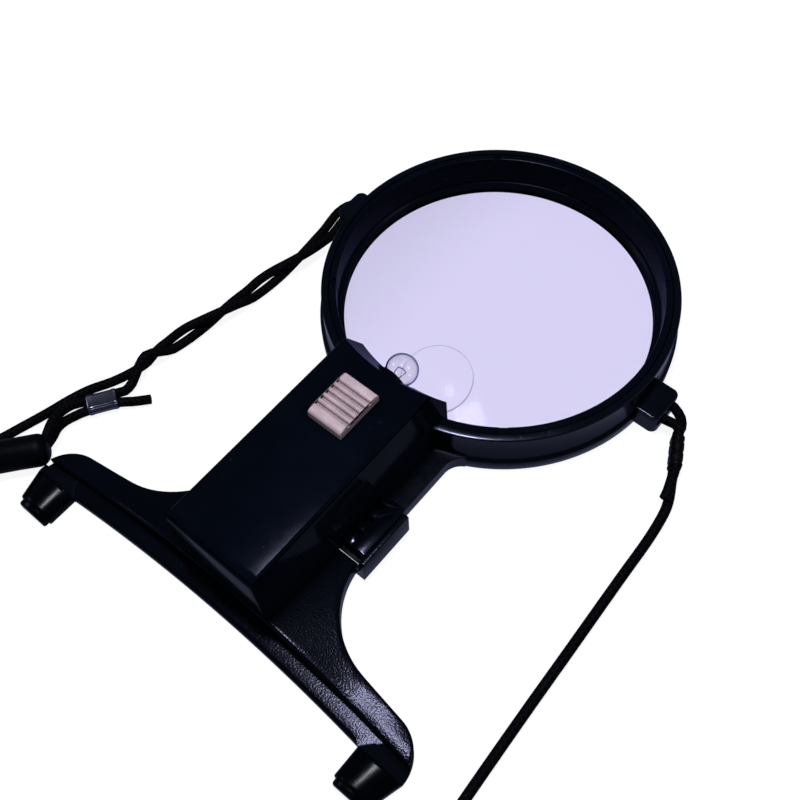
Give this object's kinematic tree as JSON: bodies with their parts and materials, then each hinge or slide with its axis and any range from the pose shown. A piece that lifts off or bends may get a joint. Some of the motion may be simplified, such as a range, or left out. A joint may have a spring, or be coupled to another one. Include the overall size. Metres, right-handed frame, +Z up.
{
  "type": "chest magnifier",
  "caption": "Hands-free magnifier with a round lens on an arm, a folding chest plate, a neck cord and a clip-over light with a slide switch.",
  "frame": {"origin": "middle of the bottom of the rigid object, on the table, without its free cord", "axes": "+Z up through the lens, +Y from the chest plate towards the lens, +X to the right of someone looking along +Y"},
  "size_m": [0.2095, 0.2947, 0.0418],
  "materials": {
    "black_plastic": "satin black moulding",
    "clear": "clear, polished",
    "rubber": "smooth black rubber",
    "knob": "pinkish beige, ribbed",
    "brass": "bright strip",
    "steel": "bright",
    "board": "laminated paper board",
    "cell": "plain printed jacket",
    "cord": "braided black cord",
    "sleeve": "soft black sleeve"
  },
  "bodies": {
    "frame": {"lens_frame": "black_plastic", "retaining_ring": "black_plastic", "main_lens": "clear", "light_body": "black_plastic", "bulb_socket": "black_plastic", "bulb_contact": "brass", "plate_front": "brass", "bridge_back": "brass", "return_strip": "brass", "spring_front": "brass", "spring_back": "brass", "cell_left": "cell", "cell_right": "cell", "switch_board": "board", "arm_screw_front": "steel", "arm_screw_back": "steel", "cord_right_loop": "cord", "cord_right_tail": "cord", "cord_right_run": "cord", "cord_neck_run": "cord", "cord_left_run": "cord", "cord_left_tail": "cord", "cord_leg_outer": "cord", "cord_leg_inner": "cord", "cord_coil": "cord", "crimp_sleeve": "sleeve", "cord_tie": "sleeve", "ferrule": "steel", "cord_slider": "rubber"},
    "lamp": {"bulb_glass": "clear", "bulb_base": "brass", "filament": "steel"},
    "cover": {"light_cover": "black_plastic"},
    "knob": {"switch_knob": "knob"},
    "contact": {"switch_contact": "brass"},
    "plate": {"chest_plate": "black_plastic", "foot_left": "rubber", "foot_right": "rubber", "hinge_pin_left": "steel", "hinge_pin_right": "steel"}
  },
  "joints": [
    {"name": "plate_fold", "type": "hinge", "parent": "frame", "child": "plate", "pos_m": [0, -0.04695, 0.005], "axis": [1, 0, 0], "range_deg": [0, 90]},
    {"name": "cover_lift", "type": "slide", "parent": "frame", "child": "cover", "axis": [0, 0, 1], "range_m": [0, 0.03]},
    {"name": "switch_slide", "type": "slide", "parent": "cover", "child": "knob", "axis": [0, 1, 0], "range_m": [0, 0.005]},
    {"name": "contact_slide", "type": "slide", "parent": "frame", "child": "contact", "axis": [0, 1, 0], "range_m": [0, 0.005]},
    {"name": "lamp_out", "type": "slide", "parent": "frame", "child": "lamp", "axis": [0, 1, 0], "range_m": [0, 0.012]}
  ],
  "couplings": [
    {"joint": "contact_slide", "follows": "switch_slide", "ratio": 1}
  ]
}
